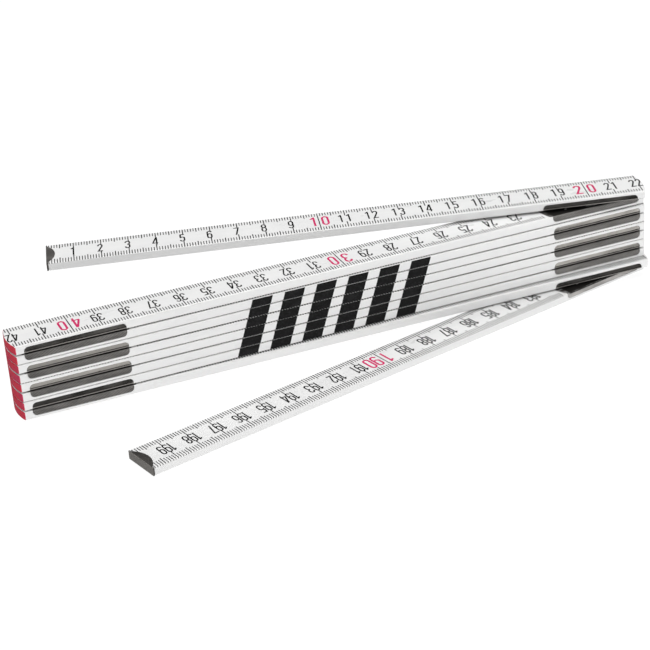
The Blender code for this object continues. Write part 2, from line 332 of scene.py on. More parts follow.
def hinge_seat_cutters(label, matrix, hinge):
    """Cutters for the seat of a plate in the underside of a slat: base, wings, rivet head."""
    base = extrude_outline("seat_base", plate_outline(hinge, 1.2 * SEAT_CLEARANCE), -MM, FACE + SEAT_DEPTH)
    pocket_top = FACE + SEAT_DEPTH + RIVET_HEAD_HEIGHT + 0.1 * MM
    pocket = cylinder("seat_pocket", RIVET_POCKET_RADIUS, -MM, pocket_top, 32)
    found = [add_cutter(label + "_base", base, matrix), add_cutter(label + "_pocket", pocket, matrix)]
    outwards, inwards = (length + 1.2 * SEAT_CLEARANCE for length in wing_lengths(hinge))
    wing = wing_outline(outwards, inwards, FACE + WING_HEIGHT + 0.7 * SEAT_CLEARANCE,
                        WING_CORNER + 0.5 * SEAT_CLEARANCE, 0.0)
    depth = PLATE_THICKNESS + SEAT_CLEARANCE + 0.8 * DEEPEST_CROWN
    slot = wing[3:-1] + [(-outwards, -MM), (inwards, -MM)]
    slot = extrude_outline("seat_wing", slot, 0.0, depth + MM)
    for side, offset in (("near", -HALF_WIDTH + depth), ("far", HALF_WIDTH + MM)):
        stand = matrix @ moved(0, offset, 0) @ STAND_UP
        found.append(add_cutter(label + "_wing_" + side, slot, stand))
    return [("DIFFERENCE", cutter) for cutter in found]


def tongue_outline(grow, reach):
    """Half-moon tongue of an end cap, from the end of the rule along the slat."""
    half_width = CAP_HALF_WIDTH + grow
    depth = CAP_DEPTH + grow
    radius = (half_width ** 2 + depth ** 2) / (2 * depth)
    spread = asin(half_width / radius)
    moon = arc(radius - depth, 0.0, radius, pi + spread, pi - spread, 28)
    return moon + ([(reach, half_width), (reach, -half_width)] if reach else [])


def cap_seat_cutters(matrix):
    """Cutters for the two half-moon seats at the square end of a slat."""
    mesh = extrude_outline("seat_tongue", tongue_outline(0.5 * SEAT_CLEARANCE, MM), 0.0, 2 * MM)
    heights = {"under": FACE + CAP_TONGUE + SEAT_CLEARANCE - 2 * MM,
               "over": TOP - CAP_TONGUE - SEAT_CLEARANCE}
    return [("DIFFERENCE", add_cutter("cap_" + side, mesh, matrix @ moved(0, 0, z)))
            for side, z in heights.items()]


def make_slat(slat):
    cuts = []
    if slat < SLAT_COUNT:
        cuts += hinge_seat_cutters(f"lower_{slat}", Matrix.Identity(4), slat)
    if slat > 1:
        cuts += hinge_seat_cutters(f"upper_{slat}", HINGE_ABOVE, slat - 1)
    if slat == 1:
        cuts += cap_seat_cutters(moved(HINGE_PITCH, 0, 0))
    if slat == SLAT_COUNT:
        cuts += cap_seat_cutters(Matrix.Rotation(pi, 4, "Z"))
    stock = extrude_outline("slat_stock", slat_outline(slat), FACE, TOP)
    mesh = shaped("slat", stock, cuts, [(EDGE_RADIUS, 3, 50)])
    if 1 < slat < SLAT_COUNT:
        dip_end(mesh, slat % 2 == 0)
    for vertex in mesh.vertices:
        vertex.co.z = leant(vertex.co.x, vertex.co.z, slat)
    return mesh


def dip_end(mesh, low_end):
    """Red material on one round end, bare again where its arris meets the faces of the slat."""
    for face in mesh.polygons:
        x, y = face.center.xy
        beyond = Vector((min(x, 0.0) if low_end else max(x - HINGE_PITCH, 0.0), y, 0.0))
        if beyond.x == 0.0 or beyond.length < END_RADII["left"] - 1.1 * EDGE_RADIUS:
            continue
        if face.normal.dot(beyond.normalized()) > 0.5:
            face.material_index = 1


# Hinges and caps

def crown(height, depth):
    """How far the outer side of a wing stands inside the slat's edge at this height."""
    rise = (height - FACE - BEND_RADIUS) / (WING_HEIGHT - BEND_RADIUS)
    return depth * max(rise, 0.0) ** WING_CURVE


def channel_outline(depth, creased):
    """Section of the bent plate, wings up: outer side first, then back along the inner side."""
    inner = BEND_RADIUS - PLATE_THICKNESS
    y = HALF_WIDTH - BEND_RADIUS
    z = FACE + BEND_RADIUS
    heights = [z + (WING_HEIGHT + MM - BEND_RADIUS) * i / 10 for i in range(1, 11)]
    half = arc(y, z, BEND_RADIUS, -pi / 2, 0.0, 7)
    if creased:
        foot = FACE + CREASE_HEIGHT
        half += [(HALF_WIDTH - dent, foot + lift) for dent, lift in
                 ((0.0, -CREASE_WIDTH / 2), (CREASE_DEPTH, 0.0), (0.0, CREASE_WIDTH / 2))]
        heights = [h for h in heights if h > foot + CREASE_WIDTH]
    half += [(HALF_WIDTH - crown(h, depth), h) for h in heights]
    half += [(HALF_WIDTH - PLATE_THICKNESS - crown(h, depth), h) for h in reversed(heights)]
    half += arc(y, z, inner, 0.0, -pi / 2, 3)
    return half + [(-a, b) for a, b in reversed(half)]


def crown_depth(x, crowns):
    """Lean of the wings at this place, between its values at the two ends of the plate."""
    share = min(max(0.5 + x / (2 * PLATE_RADIUS), 0.0), 1.0)
    return crowns[0] + (crowns[1] - crowns[0]) * share


def make_channel(crowns, creased, steps=12):
    """The bent plate before its ends are cut, its wings leaning in more or less along their length."""
    rings = []
    for i in range(steps + 1):
        x = (PLATE_RADIUS + MM) * (2 * i / steps - 1)
        rings.append([(x, y, z) for y, z in channel_outline(crown_depth(x, crowns), creased)])
    return lofted("channel", rings)


def wing_ribs(crowns, outwards, inwards, steps=10):
    """Fine slanted ribs on both wings, each a low prism that follows the crown of the wing."""
    ribs = []
    low, high = FACE + 0.32 * MM, FACE + WING_HEIGHT - 0.16 * MM
    lean_along = RIB_SLANT * (high - low)
    count = int((outwards + inwards + lean_along) / RIB_PITCH)
    for side in (-1, 1):
        for i in range(count):
            start = 0.35 * MM - outwards - lean_along + RIB_PITCH * i
            rings = []
            for step in range(steps + 1):
                z = low + (high - low) * step / steps
                x = start - side * RIB_SLANT * (z - low) + (lean_along if side > 0 else 0.0)
                spare = 0.10 * MM + max(0.0, WING_CORNER - (FACE + WING_HEIGHT - z)) ** 2 / (2 * WING_CORNER)
                left, right = max(x, spare - outwards), min(x + RIB_WIDTH, inwards - spare)
                if right - left < 0.08 * MM:
                    continue
                skin = side * (HALF_WIDTH - crown(z, crown_depth(x, crowns)))
                crest, root = skin + side * RIB_HEIGHT, skin - side * RIB_ROOT
                rings.append([(left, root, z), (left, skin, z), ((left + right) / 2, crest, z),
                              (right, skin, z), (right, root, z)])
            if len(rings) > 1:
                ribs.append(rings)
    return lofted("ribs", *ribs)


def dimple(radius, height, steps=5):
    """Closed profile of a shallow pressed bump, with its root below the surface."""
    dome = [(radius * sin(pi / 2 * i / steps), height * cos(pi / 2 * i / steps)) for i in range(steps + 1)]
    return [(0.0, -DIMPLE_ROOT)] + dome + [(radius, -DIMPLE_ROOT)]


def make_hinge_plate(name, ribbed, hinge, crowns):
    """Pressed plate with a round base and two wings, lying on the underside of a slat."""
    outwards, inwards = wing_lengths(hinge)
    channel = make_channel(crowns, not ribbed)
    disc = extrude_outline("disc", plate_outline(hinge, 0.0), -MM, 5 * MM)
    side = extrude_outline("side", wing_outline(outwards, inwards, FACE + WING_HEIGHT, WING_CORNER,
                                                FACE + SEAT_DEPTH), -10 * MM, 10 * MM)
    hole = cylinder("hole", RIVET_HOLE_RADIUS, -MM, 3 * MM, 40)
    bump = turned("bump", dimple(DIMPLE_RADIUS, DIMPLE_HEIGHT), 20)
    bump.transform(TURNED_OVER)
    cuts = [("INTERSECT", add_cutter(name + "_plan", disc)),
            ("INTERSECT", add_cutter(name + "_side", side, STAND_UP)),
            ("DIFFERENCE", add_cutter(name + "_hole", hole))]
    for i, (x, y) in enumerate(DIMPLE_PLACES):
        cuts.append(("UNION", add_cutter(f"{name}_bump_{i}", bump, moved(x * MM, y * MM, FACE))))
    plate = shaped(name, channel, cuts)
    if ribbed:
        ribs = add_cutter(name + "_ribs", wing_ribs(crowns, outwards, inwards))
        plate = shaped(name, plate, [("UNION", ribs)])
    return plate


def make_end_cap():
    """Cap with its end plate at the origin and its tongues along -X, centred on the slat."""
    half = SLAT_THICKNESS / 2
    block = extrude_outline("cap_block", tongue_outline(0.0, 0.0), -half, half)
    inside = extrude_outline("cap_inside", box_outline(-5 * MM, -CAP_PLATE, 10 * MM),
                             -half + CAP_TONGUE, half - CAP_TONGUE)
    plate = extrude_outline("cap_plate", box_outline(-CAP_PLATE, 0.0, HALF_WIDTH), -half, half)
    plate = shaped("cap_plate", plate, (), [(0.06 * MM, 2, 50)])
    moons = shaped("cap_moons", block, [("DIFFERENCE", add_cutter("cap_inside", inside))])
    return shaped("end_cap", plate, [("UNION", add_cutter("cap_moons", moons))])


# Digits, drawn with a stroke of even width in a box one unit high

EDGE = STROKE / 2
LEFT, RIGHT, MIDDLE = EDGE, GLYPH_WIDTH - EDGE, GLYPH_WIDTH / 2
LOW, HIGH = EDGE, 1 - EDGE
BOWL = 0.155
WAIST = 0.53
RX = (RIGHT - LEFT) / 2


def loop(x0, x1, y0, y1, bowl):
    """Closed upright loop with half-oval ends."""
    middle, rx = (x0 + x1) / 2, (x1 - x0) / 2
    return oval(middle, y1 - bowl, rx, bowl, 0, pi, 12) + oval(middle, y0 + bowl, rx, bowl, pi, 2 * pi, 12)


def half_turned(strokes):
    return [([(GLYPH_WIDTH - x, 1 - y) for x, y in points], closed) for points, closed in strokes]


SIX = [(loop(LEFT, RIGHT, LOW, 0.60, BOWL), True),
       ([(LEFT, 0.30), (LEFT, HIGH - BOWL)] + oval(MIDDLE, HIGH - BOWL, RX, BOWL, pi, 0.12, 12)[1:], False)]
STEM = ONE_WIDTH - EDGE
GLYPHS = {
    "0": [(loop(LEFT, RIGHT, LOW, HIGH, 0.175), True)],
    "1": [([(STEM, 0.0), (STEM, 1.0)], False),
          ([(0.015, 0.80), (STEM + 0.01, 0.965)], False)],
    "2": [(oval(MIDDLE, HIGH - BOWL, RX, BOWL, pi * 1.08, 0.0, 14)
           + [(RIGHT - 0.006, 0.70), (RIGHT - 0.030, 0.62), (LEFT + 0.012, 0.05)], False),
          ([(0.0, LOW), (GLYPH_WIDTH, LOW)], False)],
    "3": [(oval(MIDDLE, HIGH - BOWL, RX, BOWL, pi * 1.08, 0.0, 14)
           + oval(MIDDLE - 0.02, WAIST + BOWL, RX + 0.02, BOWL, 0.0, -pi / 2, 8), False),
          (oval(MIDDLE - 0.02, WAIST - BOWL, RX + 0.02, BOWL, pi / 2, 0.0, 8)
           + oval(MIDDLE, LOW + BOWL, RX, BOWL, 0.0, -pi * 1.08, 14), False)],
    "4": [([(0.285, 0.0), (0.285, 1.0)], False),
          ([(0.262, 0.975), (0.035, 0.255)], False),
          ([(0.0, 0.235), (GLYPH_WIDTH + 0.01, 0.235)], False)],
    "5": [([(0.045, HIGH), (RIGHT + 0.015, HIGH)], False),
          ([(0.070, HIGH), (0.058, 0.500)], False),
          ([(0.052, 0.525)] + oval(MIDDLE + 0.005, 0.600 - BOWL, RX, BOWL, pi * 0.74, 0.0, 12)
           + oval(MIDDLE, LOW + BOWL, RX, BOWL, 0.0, -pi * 1.06, 14), False)],
    "6": SIX,
    "7": [([(0.0, HIGH), (GLYPH_WIDTH, HIGH)], False),
          ([(RIGHT - 0.004, HIGH), (0.115, 0.0)], False)],
    "8": [(loop(LEFT + 0.008, RIGHT - 0.008, WAIST, HIGH, BOWL), True),
          (loop(LEFT, RIGHT, LOW, WAIST, BOWL), True)],
    "9": half_turned(SIX),
}


def stroke_mesh(points, closed):
    """Flat solid one unit thick along a path, with square ends."""
    count = len(points)
    sides = []
    for i, (x, y) in enumerate(points):
        before = points[i - 1] if closed or i else points[0]
        after = points[(i + 1) % count] if closed or i < count - 1 else points[-1]
        tangents = [(x - before[0], y - before[1]), (after[0] - x, after[1] - y)]
        tangents = [(a / hypot(a, b), b / hypot(a, b)) for a, b in tangents if hypot(a, b) > 1e-9]
        tx = sum(a for a, b in tangents)
        ty = sum(b for a, b in tangents)
        size = hypot(tx, ty)
        nx, ny = -ty / size, tx / size
        widen = EDGE / max(0.5, nx * -tangents[0][1] + ny * tangents[0][0])
        sides.append(((x + nx * widen, y + ny * widen), (x - nx * widen, y - ny * widen)))
    return lofted("stroke", [[(*p, 0.0), (*q, 0.0), (*q, 1.0), (*p, 1.0)] for p, q in sides], closed=closed)


def make_glyph(digit):
    """Points and faces of one digit, its strokes joined into one solid."""
    strokes = []
    for points, closed in GLYPHS[digit]:
        clean = [p for i, p in enumerate(points)
                 if (i == 0 and not closed) or hypot(p[0] - points[i - 1][0], p[1] - points[i - 1][1]) > 1e-5]
        strokes.append(stroke_mesh(clean, closed))
    joins = [("UNION", add_cutter(f"digit_{digit}_{i}", mesh)) for i, mesh in enumerate(strokes[1:])]
    mesh = shaped("digit_" + digit, strokes[0], joins)
    return [tuple(v.co) for v in mesh.vertices], [tuple(p.vertices) for p in mesh.polygons]


BLACK, RED = 0, 1


class Print:
    """Ink on one slat: thin solids that follow its faces and its rounded arrises."""

    def __init__(self, slat):
        self.slat = slat
        self.points = []
        self.faces = []
        self.inks = []

    def add(self, points, faces, ink):
        base = len(self.points)
        self.points += [(x, y, leant(x, z, self.slat)) for x, y, z in points]
        self.faces += [tuple(base + i for i in face) for face in faces]
        self.inks += [ink] * len(faces)

    def band(self, section, spans, ink):
        """Strip across the slat: section gives (y, z, outward y, outward z), spans the x limits."""
        points = []
        for (y, z, ny, nz), (x0, x1) in zip(section, spans):
            for x, lift in ((x0, -INK_ROOT), (x1, -INK_ROOT), (x1, INK_HEIGHT), (x0, INK_HEIGHT)):
                points.append((x, y + ny * lift, z + nz * lift))
        last = 4 * (len(section) - 1)
        faces = [(0, 1, 2, 3), (last + 3, last + 2, last + 1, last)]
        for start in range(0, last, 4):
            for k, after in ((0, 1), (1, 2), (2, 3), (3, 0)):
                faces.append((start + k, start + 4 + k, start + 4 + after, start + after))
        self.add(points, faces, ink)

    def number(self, digits, x, y_middle, height, stretch, space, over, ink):
        """Row of digits that reads along -X, from this x on."""
        up = -1 if over else 1
        level = TOP if over else FACE
        out = 1 if over else -1
        for digit in digits:
            points, faces = glyphs[digit]
            placed = [(x - a * height * stretch, y_middle + up * (b - 0.5) * height,
                       level + out * (c * (INK_HEIGHT + INK_ROOT) - INK_ROOT)) for a, b, c in points]
            self.add(placed, faces, ink)
            x -= advance(digit) * height * stretch + space

    def mesh(self, name):
        bm = bmesh.new()
        vertices = [bm.verts.new(point) for point in self.points]
        for face, ink in zip(self.faces, self.inks):
            bm.faces.new([vertices[i] for i in face]).material_index = ink
        return settled(bm, name)


def advance(digit):
    return ONE_WIDTH if digit == "1" else GLYPH_WIDTH


def text_width(digits, height, space):
    return sum(advance(d) * height for d in digits) + space * (len(digits) - 1)


def edge_section(side, over, inner, outer):
    """Section of a mark from its inner end to the edge of the slat, bent over the arris."""
    level, out = (TOP, 1) if over else (FACE, -1)
    flat = HALF_WIDTH - EDGE_RADIUS
    section = [(side * inner, level, 0.0, out), (side * min(outer, flat), level, 0.0, out)]
    if outer > flat:
        limit = min(1.0, (outer - flat) / EDGE_RADIUS)
        for step in (0.5, 1.0):
            a = asin(limit) * step
            section.append((side * (flat + EDGE_RADIUS * sin(a)), level - out * EDGE_RADIUS * (1 - cos(a)),
                            side * sin(a), out * cos(a)))
    return section


def tongue_half_width(depth):
    """Half width of an end cap's tongue at this distance from the end of the rule."""
    reach = CAP_RADIUS - CAP_DEPTH + depth
    return (CAP_RADIUS ** 2 - reach ** 2) ** 0.5 if reach < CAP_RADIUS else 0.0


def scale_limits(slat, over):
    """Where the print on a face may begin and end along the slat."""
    low, high = -END_RADII[column_of(slat)], HINGE_PITCH + END_RADII[column_of(slat - 1)]
    if slat == 1:
        high = HINGE_PITCH
    elif over:
        high = HINGE_PITCH - PLATE_RADIUS - PLATE_MARGIN
    if slat == SLAT_COUNT:
        low = 0.0
    elif not over:
        low = PLATE_RADIUS + PLATE_MARGIN
    return low, high


def print_scale(sheet, over):
    """Millimetre scale on one face of a slat, clear of its hinge plate, its cap and its round end."""
    slat = sheet.slat
    low, high = scale_limits(slat, over)
    middle = DIGIT_SHIFT[slat - 1] * MM * (1 if over else -1)
    near = 1 if slat % 2 else -1
    near_reach = NEAR_REACH[slat - 1] * MM if over else HIDDEN_REACH
    first, last = (round((HINGE_PITCH * slat - x) / MM) for x in (high, low))
    for mark in range(first, last + 1):
        x = HINGE_PITCH * slat - mark * MM
        if not low + END_MARGIN < x < high - END_MARGIN:
            continue
        drift = FIRST_DRIFT * (1 - x / HINGE_PITCH) if slat == 1 and over else 0.0
        reach = {near: near_reach - drift, -near: FAR_REACH[slat - 1] * MM}
        beyond = max(-x, x - HINGE_PITCH)
        if beyond > 0:
            rim = max(END_RADII[column_of(slat if x < 0 else slat - 1)] - ROUND_MARGIN, beyond)
            reach = {side: min(y, (rim ** 2 - beyond ** 2) ** 0.5) for side, y in reach.items()}
        kind = 2 if mark % 10 == 0 else 1 if mark % 5 == 0 else 0
        if mark % 100 == 0:
            left, right = (edge_section(side, over, 0.0, reach[side])[1:] for side in (-1, 1))
            sections = [left[::-1] + right]
        else:
            inner = TICK_REACH - TICK_LENGTHS[kind]
            from_cap = {1: HINGE_PITCH - x, SLAT_COUNT: x}.get(slat, CAP_DEPTH)
            bare = tongue_half_width(from_cap) + END_MARGIN
            starts = {near: max(inner, bare), -near: max(inner + 0.5 * drift, bare)}
            sections = [edge_section(side, over, starts[side], reach[side]) for side in (-1, 1)
                        if reach[side] - starts[side] >= SHORTEST_TICK]
        width = TICK_WIDTH * (LONG_TICK if kind else 1.0)
        for section in sections:
            sheet.band(section, [(x - width / 2, x + width / 2)] * len(section), BLACK)
        if kind == 2:
            print_value = print_number if mark % 100 else print_tens
            print_value(sheet, str(mark // 10), x, middle - 0.35 * drift, over, low, high)


def print_number(sheet, digits, x, middle, over, low, high):
    """Black number on its mark, pairs of digits in equal cells."""
    height = FIRST_DIGIT_HEIGHT if sheet.slat == 1 else DIGIT_HEIGHT
    cell = GLYPH_WIDTH * height * DIGIT_STRETCH
    space = DIGIT_SPACE[len(digits)]
    pair = len(digits) == 2
    width = 2 * cell + space if pair else text_width(digits, height * DIGIT_STRETCH, space)
    if len(digits) == 1:
        x += SINGLE_SHIFT
    elif sheet.slat == 1:
        x += FIRST_SHIFT
    start = x + width / 2
    spill = low + DIGIT_MARGIN + width - start
    if 0.0 < spill < LARGEST_NUDGE:
        start += spill
    if start - width < low or start > high + 0.1 * MM:
        return
    if not pair:
        sheet.number(digits, start, middle, height, DIGIT_STRETCH, space, over, BLACK)
        return
    lead = LEADING_ONE_SHIFT if digits[0] == "1" else 0.0
    follow = (cell - advance(digits[1]) * height * DIGIT_STRETCH) / 2
    for digit, place in ((digits[0], start + lead), (digits[1], start - cell - space - follow)):
        sheet.number(digit, place, middle, height, DIGIT_STRETCH, 0.0, over, BLACK)


def print_tens(sheet, digits, x, middle, over, low, high):
    """Red number on either side of the line across the slat."""
    first, rest = digits[0], digits[1:]
    before, after = TENS_OFFSETS
    start = x + before + advance(first) * TENS_HEIGHT * TENS_STRETCH
    finish = x - after - text_width(rest, TENS_HEIGHT * TENS_STRETCH, TENS_SPACE)
    if start < high and finish > low:
        sheet.number(first, start, middle, TENS_HEIGHT, TENS_STRETCH, 0.0, over, RED)
        sheet.number(rest, x - after, middle, TENS_HEIGHT, TENS_STRETCH, TENS_SPACE, over, RED)


def print_bars(sheet):
    """This slat's share of the slanted bars, on the side that faces the viewer when folded."""
    slat = sheet.slat
    side = 1 if slat % 2 else -1
    base = (SLAT_COUNT - slat) * STACK_PITCH
    section = []
    for level, steps in ((FACE + EDGE_RADIUS, (-2, -1, 0)), (TOP - EDGE_RADIUS, (0, 1, 2))):
        for step in steps:
            a = radians(35) * step
            y = HALF_WIDTH - EDGE_RADIUS * (1 - cos(a))
            section.append((side * y, level + EDGE_RADIUS * sin(a), side * cos(a), sin(a)))
    if base + section[-1][1] < BAR_LOW or base + section[0][1] > BAR_HIGH:
        return
    section = [s for s in section if BAR_LOW - 0.5 * MM < base + s[1] < BAR_HIGH + 0.5 * MM]
    if len(section) < 2:
        return
    for bar in range(BAR_COUNT):
        spans = []
        for row in section:
            u = BAR_START + bar * (BAR_WIDTH + BAR_SPACE) - BAR_SLANT * (base + row[1] - BAR_LOW)
            x = u if slat % 2 else HINGE_PITCH - u - BAR_WIDTH
            spans.append((x, x + BAR_WIDTH))
        sheet.band(section, spans, BLACK)


# Materials

class Shader:
    """Shorthand for one node material, in the coordinates of the piece it is on."""

    def __init__(self, name):
        self.material = bpy.data.materials.new(name)
        self.material.use_nodes = True
        self.tree = self.material.node_tree
        self.surface = self.tree.nodes["Principled BSDF"]
        self.place = self.tree.nodes.new("ShaderNodeTexCoord").outputs["Object"]
        self.x, self.y, self.z = self.node("ShaderNodeSeparateXYZ", Vector=self.place).outputs

    def node(self, kind, settings=None, **inputs):
        node = self.tree.nodes.new(kind)
        for key, value in (settings or {}).items():
            setattr(node, key, value)
        for key, value in inputs.items():
            self.feed(node.inputs[int(key[1:]) if key[0] == "_" else key.replace("_", " ")], value)
        return node

    def feed(self, socket, value):
        if isinstance(value, bpy.types.NodeSocket):
            self.tree.links.new(value, socket)
        else:
            socket.default_value = value

    def math(self, operation, a, b=0.0):
        return self.node("ShaderNodeMath", {"operation": operation}, _0=a, _1=b).outputs[0]

    def times(self, a, b):
        return self.math("MULTIPLY", a, b)

    def size(self, value):
        return self.math("ABSOLUTE", value)

    def noise(self, stretch, detail=3.0, roughness=0.55, shift=0.0):
        """Noise with this many features per metre along each axis, different on every piece."""
        scaled = self.node("ShaderNodeMapping", Vector=self.place, Scale=stretch, Location=[shift] * 3)
        seed = self.node("ShaderNodeObjectInfo").outputs["Random"]
        return self.node("ShaderNodeTexNoise", {"noise_dimensions": "4D"}, Vector=scaled.outputs[0],
                         W=self.times(seed, 37.0), Scale=1.0, Detail=detail,
                         Roughness=roughness).outputs["Fac"]

    def band(self, value, start, end, low=0.0, high=1.0):
        """Smooth change from low to high as the value goes from start to end."""
        return self.node("ShaderNodeMapRange", {"interpolation_type": "SMOOTHSTEP"}, Value=value, _1=start,
                         _2=end, _3=low, _4=high).outputs[0]

    def mix(self, factor, a, b):
        node = self.node("ShaderNodeMix", {"data_type": "RGBA"}, _0=factor)
        self.feed(node.inputs[6], a)
        self.feed(node.inputs[7], b)
        return node.outputs[2]

    def bump(self, height, distance, strength=1.0, below=None):
        node = self.node("ShaderNodeBump", Height=height, Distance=distance, Strength=strength)
        if below:
            self.feed(node.inputs["Normal"], below)
        return node.outputs[0]

    def finish(self, color, roughness, normal, metallic=0.0, **fixed):
        fixed.update(Base_Color=color, Roughness=roughness, Normal=normal, Metallic=metallic)
        for key, value in fixed.items():
            self.feed(self.surface.inputs[key.replace("_", " ")], value)
        return self.material


def rgb(r, g, b, factor=1.0):
    return tuple(min(1.0, c * factor) for c in (r, g, b)) + (1.0,)


def edge_distance(s):
    """Distance from the nearest long arris of a slat, measured along its faces."""
    across = s.math("SUBTRACT", HALF_WIDTH, s.size(s.y))
    down = s.math("MINIMUM", s.math("SUBTRACT", s.z, FACE), s.math("SUBTRACT", TOP, s.z))
    return s.math("MAXIMUM", across, down)


def lacquer(name, tone):
    """White lacquer over fine-grained wood."""
    s = Shader(name)
    grain = s.noise((55.0, 2300.0, 2300.0), 4.0, 0.6)
    veins = s.noise((22.0, 620.0, 620.0), 3.0, 0.5, 4.0)
    cloud = s.noise((90.0, 160.0, 160.0), 2.0, 0.5, 9.0)
    speck = s.noise((900.0, 900.0, 900.0), 2.0, 0.5, 2.0)
    color = s.mix(s.band(veins, 0.35, 0.75, 0.0, 0.55), rgb(0.745, 0.745, 0.742, tone),
                  rgb(0.700, 0.700, 0.702, tone))
    color = s.mix(s.band(grain, 0.50, 0.78, 0.0, 0.25), color, rgb(0.62, 0.62, 0.61))
    color = s.mix(s.band(cloud, 0.45, 0.70, 0.0, 0.30), color, rgb(0.765, 0.762, 0.75, tone))
    worn = s.times(s.band(edge_distance(s), 0.40 * MM, 0.05 * MM),
                   s.band(s.noise((260.0, 900.0, 900.0), 4.0, 0.65, 6.0), 0.44, 0.68, 0.04, 0.40))
    color = s.mix(worn, color, rgb(0.47, 0.44, 0.39))
    rough = s.band(cloud, 0.30, 0.70, 0.27, 0.42)
    rough = s.math("ADD", rough, s.times(worn, 0.25))
    normal = s.bump(grain, 0.022 * MM, 0.55)
    normal = s.bump(cloud, 0.25 * MM, 0.30, normal)
    normal = s.bump(speck, 0.012 * MM, 0.40, normal)
    return s.finish(color, rough, normal, Coat_Weight=0.20, Coat_Roughness=0.20)


def red_dip():
    """Thick red dipping paint on the end grain, slightly orange-peeled, paler where it is rubbed."""
    s = Shader("red_dip")
    peel = s.noise((650.0, 650.0, 650.0), 2.0, 0.5)
    cloud = s.noise((120.0, 240.0, 240.0), 3.0, 0.5, 3.0)
    grain = s.noise((700.0, 1600.0, 1600.0), 3.0, 0.6, 5.0)
    color = s.mix(s.band(cloud, 0.38, 0.66), rgb(0.56, 0.020, 0.042), rgb(0.47, 0.022, 0.075))
    color = s.mix(s.band(grain, 0.55, 0.80, 0.0, 0.35), color, rgb(0.36, 0.012, 0.028))
    rubbed = s.times(s.band(edge_distance(s), 0.35 * MM, 0.05 * MM),
                     s.band(s.noise((420.0, 900.0, 900.0), 3.0, 0.6, 7.0), 0.48, 0.70, 0.0, 0.55))
    color = s.mix(rubbed, color, rgb(0.72, 0.24, 0.27))
    rough = s.band(cloud, 0.30, 0.70, 0.46, 0.58)
    normal = s.bump(peel, 0.05 * MM, 0.35)
    normal = s.bump(grain, 0.012 * MM, 0.40, normal)
    return s.finish(color, rough, normal, Specular_IOR_Level=0.22)


def ink(name, light, dark, rough):
    """Printing ink: a little thin in places, slightly pitted."""
    s = Shader(name)
    thin = s.noise((1600.0, 1600.0, 1600.0), 3.0, 0.6)
    patches = s.noise((180.0, 300.0, 300.0), 2.0, 0.5, 5.0)
    color = s.mix(s.band(thin, 0.45, 0.80, 0.0, 0.8), dark, light)
    color = s.mix(s.band(patches, 0.50, 0.75, 0.0, 0.35), color, light)
    roughness = s.band(patches, 0.3, 0.7, rough - 0.06, rough + 0.10)
    return s.finish(color, roughness, s.bump(thin, 0.006 * MM, 0.5), Specular_IOR_Level=0.04)


def dark_steel(name, tone, edge_wear_and_highlight_tone, rough, edge, mark, spread, metallic, gloss, dull=None):
    """Blackened steel, brushed along the slat, no two pieces quite alike, rubbed along its edges; on the
    hinge plates the lighter edges are partly painted highlight.

    Mark adds the painted shade and wear of a hinge plate, or the tone of a cap's end plate, and dull finds
    where bare metal shows no lustre.
    """
    s = Shader(name)
    brushed = s.noise((120.0, 2600.0, 5200.0), 3.0, 0.6)
    cloud = s.noise((110.0, 150.0, 420.0), 3.0, 0.55, 3.0)
    pits = s.noise((1500.0, 1500.0, 1500.0), 2.0, 0.5, 8.0)
    color = s.mix(s.band(cloud, 0.30, 0.70), rgb(*tone, 0.66), rgb(*tone, 1.30))
    piece = s.node("ShaderNodeObjectInfo").outputs["Random"]
    color = s.mix(s.band(piece, 0.0, 1.0, 0.0, spread * 2), color, rgb(*tone, 0.45))
    color = mark(s, s.mix(s.band(brushed, 0.52, 0.80, 0.0, 0.45), color, rgb(*tone, 1.5)))
    if dull:
        metallic = s.times(metallic, s.math("SUBTRACT", 1.0, dull(s)))
    wear = s.noise((500.0, 900.0, 900.0), 3.0, 0.6, 5.0)
    # lighter along the edges: wear, and on the hinge plates partly painted highlight
    rubbed = s.times(edge(s), s.band(wear, 0.40, 0.66, 0.05, 0.7))
    color = s.mix(rubbed, color, rgb(*edge_wear_and_highlight_tone))
    roughness = s.band(cloud, 0.3, 0.7, rough - 0.05, rough + 0.09)
    roughness = s.math("ADD", roughness, s.times(brushed, 0.06))
    normal = s.bump(brushed, 0.010 * MM, 0.45)
    normal = s.bump(pits, 0.010 * MM, 0.30, normal)
    return s.finish(color, roughness, normal, metallic, Specular_IOR_Level=gloss)


def base_painted_shade(s, color, margin=0.35 * MM, height=0.24 * MM, cover=0.95):
    """Painted shade on the friction face of a hinge plate: near-black where it lies between the slats, with
    the pressed dimples rubbed bright.
    """
    inside = s.band(s.size(s.y), HALF_WIDTH - margin, HALF_WIDTH - margin - 0.25 * MM)
    face = s.times(inside, s.band(s.z, FACE + height, FACE + 0.6 * height))
    # near-black painted shade on the face of the base plate
    color = s.mix(s.times(face, cover), color, rgb(0.008, 0.007, 0.006))
    crown_of_dimple = s.band(s.z, FACE - 0.02 * MM, FACE - 0.06 * MM)
    return s.mix(crown_of_dimple, color, rgb(0.75, 0.74, 0.72))


def shade_painted_to_edge(s, color):
    """The lowest plate has the same near-black painted shade right out to its wings."""
    return base_painted_shade(s, color, -0.30 * MM, 0.58 * MM, 0.99)


def creased_plate(s, color):
    """The upper plates also get near-black painted shade in the crease along the foot of their wings."""
    off_crease = s.size(s.math("SUBTRACT", s.z, FACE + CREASE_HEIGHT))
    color = s.mix(foot_of_wing(s), color, rgb(0.20, 0.19, 0.18))
    # painted shade in the crease
    color = s.mix(s.band(off_crease, 0.22 * MM, 0.12 * MM, 0.0, 0.9), color, rgb(0.012, 0.011, 0.010))
    return base_painted_shade(s, color)


def foot_of_wing(s):
    """The bend below the crease, where the blackening is worn off to dull grey."""
    return s.band(s.z, FACE + 0.58 * MM, FACE + 0.50 * MM)


